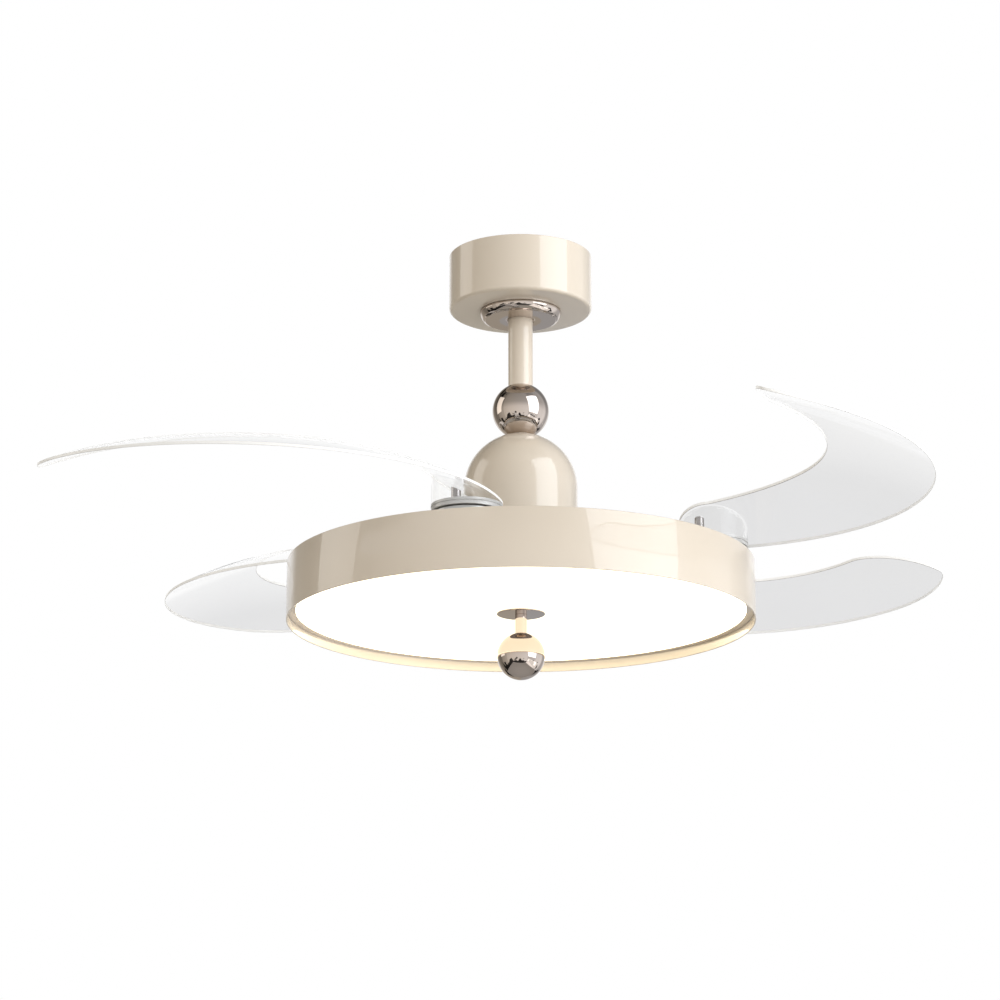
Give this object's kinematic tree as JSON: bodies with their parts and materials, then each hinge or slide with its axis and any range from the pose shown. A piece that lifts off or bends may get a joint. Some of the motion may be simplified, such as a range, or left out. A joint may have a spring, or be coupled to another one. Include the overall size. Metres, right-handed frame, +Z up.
{
  "type": "retractable blade ceiling fan",
  "caption": "Ceiling fan with clear crescent blades that swing out over a round lamp drum, a domed motor cover on a short downrod and a cylindrical canopy.",
  "frame": {"origin": "centre of the ceiling bar's upper face, in the plane of the ceiling", "axes": "+Z up along the downrod, towards the ceiling; -Y faces the side that the reference picture shows; +X to that view's right"},
  "size_m": [0.9672, 0.9672, 0.4731],
  "materials": {
    "cream_paint": "glossy cream paint",
    "chrome": "polished",
    "steel": "zinc plated",
    "lamination": "stacked sheets",
    "bearing_steel": "ground",
    "magnet": "dull grey",
    "copper": "varnished copper wire",
    "casting": "die cast",
    "white_sheet": "white paint",
    "board": "white solder mask",
    "phosphor": "yellow phosphor",
    "white_plastic": "moulded",
    "opal": "opal acrylic",
    "nylon": "natural nylon",
    "bronze": "sintered",
    "spring_steel": "blued",
    "rubber": "moulded",
    "cable": "sleeved",
    "clear": "clear"
  },
  "bodies": {
    "ceiling_and_lamp": {"ceiling_bar": "steel", "rubber_pad": "rubber", "downrod": "cream_paint", "hanger_bolts": "steel", "canopy": "cream_paint", "canopy_collar": "chrome", "set_screws": "steel", "receiver_box": "white_plastic", "terminal_block": "white_plastic", "wire_loom": "cable", "upper_ball": "chrome", "dome_cover": "cream_paint", "dome_bracket": "steel", "small_screws": "steel", "coupling": "steel", "motor_shaft": "steel", "lock_nuts": "steel", "stator_core": "lamination", "motor_windings": "copper", "bearing_inner_rings": "bearing_steel", "lamp_chassis": "white_sheet", "drum_shell": "cream_paint", "diffuser_ring": "cream_paint", "diffuser": "opal", "led_board": "board", "led_chips": "phosphor", "led_driver": "white_plastic", "finial_bridge": "steel", "finial_rod": "steel", "finial_rose": "chrome", "finial_stem": "chrome", "finial_ball": "chrome"},
    "rotor": {"motor_lower_cover": "casting", "motor_upper_cover": "casting", "motor_magnets": "magnet", "bearing_outer_rings": "bearing_steel", "bearing_balls": "bearing_steel", "rotor_plate": "steel", "rotor_screws": "steel", "pivot_bushes": "bronze", "return_springs": "spring_steel", "ring_guides": "nylon"},
    "sync_ring": {"sync_ring": "nylon"},
    "blade_1": {"blade_1": "clear", "hub_1": "casting", "gear_1": "nylon", "fixings_1": "steel"},
    "blade_2": {"blade_2": "clear", "hub_2": "casting", "gear_2": "nylon", "fixings_2": "steel"},
    "blade_3": {"blade_3": "clear", "hub_3": "casting", "gear_3": "nylon", "fixings_3": "steel"},
    "blade_4": {"blade_4": "clear", "hub_4": "casting", "gear_4": "nylon", "fixings_4": "steel"}
  },
  "joints": [
    {"name": "rotor_spin", "type": "hinge", "parent": "ceiling_and_lamp", "child": "rotor", "pos_m": [0, 0, -0.3475], "axis": [0, 0, 1], "continuous": true},
    {"name": "blade_1_fold", "type": "hinge", "parent": "rotor", "child": "blade_1", "pos_m": [0.20284, -0.05435, -0.3475], "axis": [0, 0, 1], "range_deg": [-94, 0]},
    {"name": "blade_2_fold", "type": "hinge", "parent": "rotor", "child": "blade_2", "pos_m": [0.05435, 0.20284, -0.3475], "axis": [0, 0, 1], "range_deg": [-94, 0]},
    {"name": "blade_3_fold", "type": "hinge", "parent": "rotor", "child": "blade_3", "pos_m": [-0.20284, 0.05435, -0.3475], "axis": [0, 0, 1], "range_deg": [-94, 0]},
    {"name": "blade_4_fold", "type": "hinge", "parent": "rotor", "child": "blade_4", "pos_m": [-0.05435, -0.20284, -0.3475], "axis": [0, 0, 1], "range_deg": [-94, 0]},
    {"name": "sync_ring_turn", "type": "hinge", "parent": "rotor", "child": "sync_ring", "pos_m": [0, 0, -0.3555], "axis": [0, 0, 1], "range_deg": [0, 15.67]}
  ],
  "couplings": [
    {"joint": "blade_2_fold", "follows": "blade_1_fold", "ratio": 1},
    {"joint": "blade_3_fold", "follows": "blade_1_fold", "ratio": 1},
    {"joint": "blade_4_fold", "follows": "blade_1_fold", "ratio": 1},
    {"joint": "sync_ring_turn", "follows": "blade_1_fold", "ratio": -0.16667}
  ]
}
